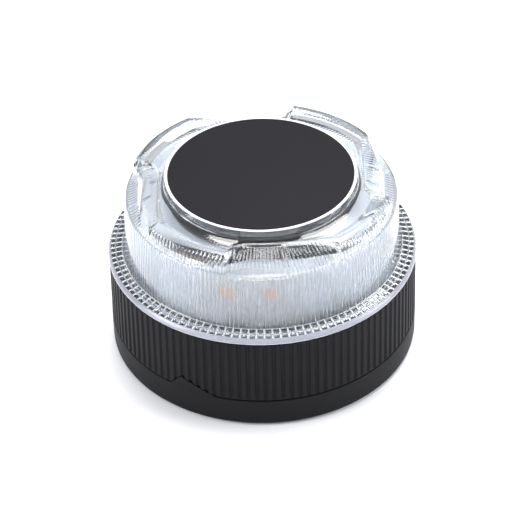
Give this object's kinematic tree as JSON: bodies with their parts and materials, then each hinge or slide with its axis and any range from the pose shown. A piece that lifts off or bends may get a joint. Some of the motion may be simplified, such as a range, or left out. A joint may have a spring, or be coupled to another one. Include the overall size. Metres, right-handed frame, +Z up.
{
  "type": "road flare",
  "caption": "Magnetic roadside hazard beacon: ribbed black base with a twist-off battery cover, clear fluted dome over amber lamps, flat black top disc and an underside push button.",
  "frame": {"origin": "centre of the footprint, on the surface that the beacon stands on", "axes": "+Z up through the dome; -Y is the front, where the ramp lug of the cover sits a little to the left"},
  "size_m": [0.0962, 0.0962, 0.0602],
  "materials": {
    "black_abs": "moulded, fine matt texture",
    "clear_pc": "clear moulded polycarbonate with fine flutes",
    "white_abs": "moulded white diffuser plastic",
    "black_print": "semi-matt black plastic disc",
    "rubber": "matt black rubber",
    "board_black": "black solder mask",
    "board_white": "white solder mask",
    "amber_resin": "amber phosphor resin",
    "steel": "plain steel",
    "nickel": "bright nickel plating",
    "ceramic": "fired ceramic with silver patch",
    "cell_wrap": "plain printed cell sleeve",
    "orange_abs": "orange moulded plastic"
  },
  "bodies": {
    "housing": {"amber_lamp_1": "amber_resin", "amber_lamp_2": "amber_resin", "amber_lamp_3": "amber_resin", "amber_lamp_4": "amber_resin", "amber_lamp_5": "amber_resin", "amber_lamp_6": "amber_resin", "amber_lamp_7": "amber_resin", "amber_lamp_8": "amber_resin", "antenna_board": "board_black", "battery_cell_1": "cell_wrap", "battery_cell_2": "cell_wrap", "battery_cell_3": "cell_wrap", "board_capacitor": "black_abs", "carrier_screw_1": "steel", "carrier_screw_2": "steel", "carrier_screw_3": "steel", "cell_contact_1": "nickel", "cell_contact_2": "nickel", "cell_contact_3": "nickel", "cell_spring_1": "nickel", "cell_spring_2": "nickel", "cell_spring_3": "nickel", "flex_link": "orange_abs", "grip_housing": "black_abs", "keeper_plate": "steel", "label_disc": "black_print", "lamp_board_1": "board_white", "lamp_board_2": "board_white", "lamp_board_3": "board_white", "lamp_board_4": "board_white", "led_carrier": "white_abs", "lens_dome": "clear_pc", "lens_gasket": "rubber", "magnet_pad": "rubber", "main_board": "board_black", "modem_shield": "nickel", "patch_antenna": "ceramic", "ring_magnet": "nickel", "tact_switch": "black_abs"},
    "cover_seal": {"cover_gasket": "rubber"},
    "cover": {"battery_cover": "black_abs", "foot_ring": "rubber"},
    "button": {"power_button": "orange_abs", "button_clip": "steel", "button_spring": "steel"}
  },
  "joints": [
    {"name": "cover_drop", "type": "slide", "parent": "housing", "child": "cover_seal", "axis": [0, 0, -1], "range_m": [0, 0.0185]},
    {"name": "cover_twist", "type": "hinge", "parent": "cover_seal", "child": "cover", "pos_m": [0, 0, 0.0032], "axis": [0, 0, 1], "range_deg": [0, 60]},
    {"name": "button_press", "type": "slide", "parent": "housing", "child": "button", "axis": [0, 0, 1], "range_m": [0, 0.001], "stiffness_N_per_m": 900, "springref_m": -0.002, "deforming": ["button_spring"]}
  ],
  "couplings": [
    {"joint": "cover_twist", "follows": "cover_drop", "rad_per_m": 56.6}
  ]
}
